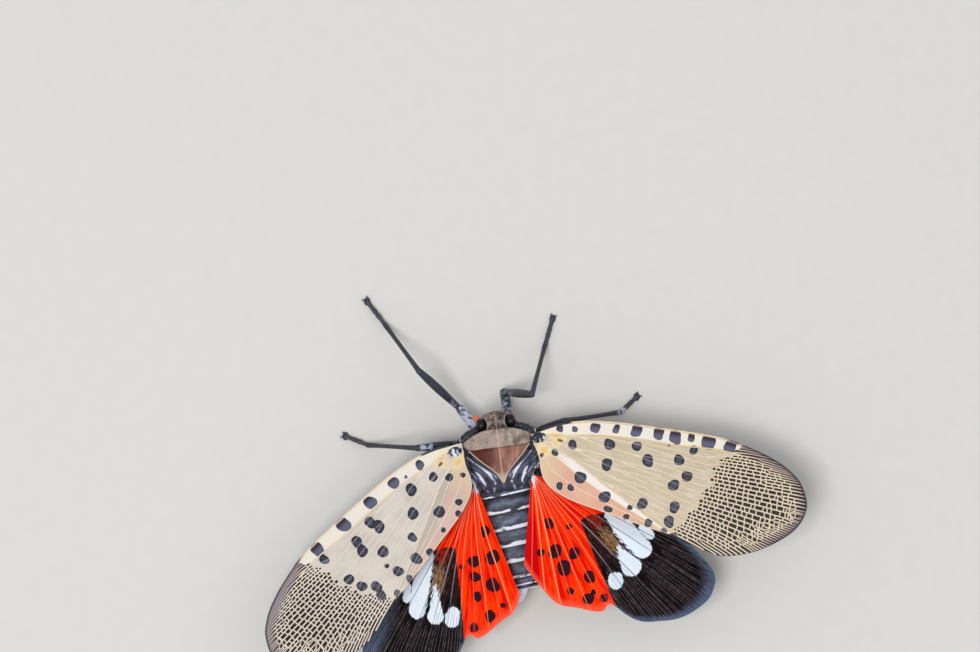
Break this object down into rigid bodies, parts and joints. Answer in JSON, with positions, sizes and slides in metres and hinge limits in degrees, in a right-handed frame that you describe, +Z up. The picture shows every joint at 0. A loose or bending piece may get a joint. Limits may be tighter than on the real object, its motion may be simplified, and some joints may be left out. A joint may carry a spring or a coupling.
{
  "type": "spotted lanternfly",
  "caption": "Life-size still insect standing on its feet, with spotted forewings and red hindwings spread out flat to both sides.",
  "frame": {"origin": "on the ground under the middle of the whole insect", "axes": "-Y towards the head, +X towards the insect's left side, +Z up"},
  "size_m": [0.0432, 0.031, 0.0086],
  "materials": {
    "black_cuticle": "satin black leg cuticle with a bluish bloom",
    "waxy_body": "blue-black cuticle under white and bluish wax",
    "head_brown": "mottled grey-brown, matt",
    "eye": "dark brown compound eye, polished",
    "antenna_orange": "orange-red, satin",
    "pronotum_tan": "beige with fine dark specks, satin",
    "mesonotum_brown": "red-brown with a cream rim, satin",
    "forewing_tan": "tan membrane with dark spots and a net of pale veins",
    "hindwing_red": "scarlet, white and black membrane with raised veins"
  },
  "bodies": {
    "root": {"pronotum": "pronotum_tan", "mesonotum": "mesonotum_brown", "thorax": "waxy_body", "abdomen": "waxy_body", "head": "head_brown", "rostrum": "black_cuticle", "eye_left": "eye", "eye_right": "eye", "antenna_left": "antenna_orange", "antenna_right": "antenna_orange", "forewing_left": "forewing_tan", "forewing_right": "forewing_tan", "hindwing_left": "hindwing_red", "hindwing_right": "hindwing_red", "leg_front_left": "black_cuticle", "leg_front_right": "black_cuticle", "leg_mid_left": "black_cuticle", "leg_mid_right": "black_cuticle", "leg_hind_left": "black_cuticle", "leg_hind_right": "black_cuticle"}
  },
  "joints": []
}
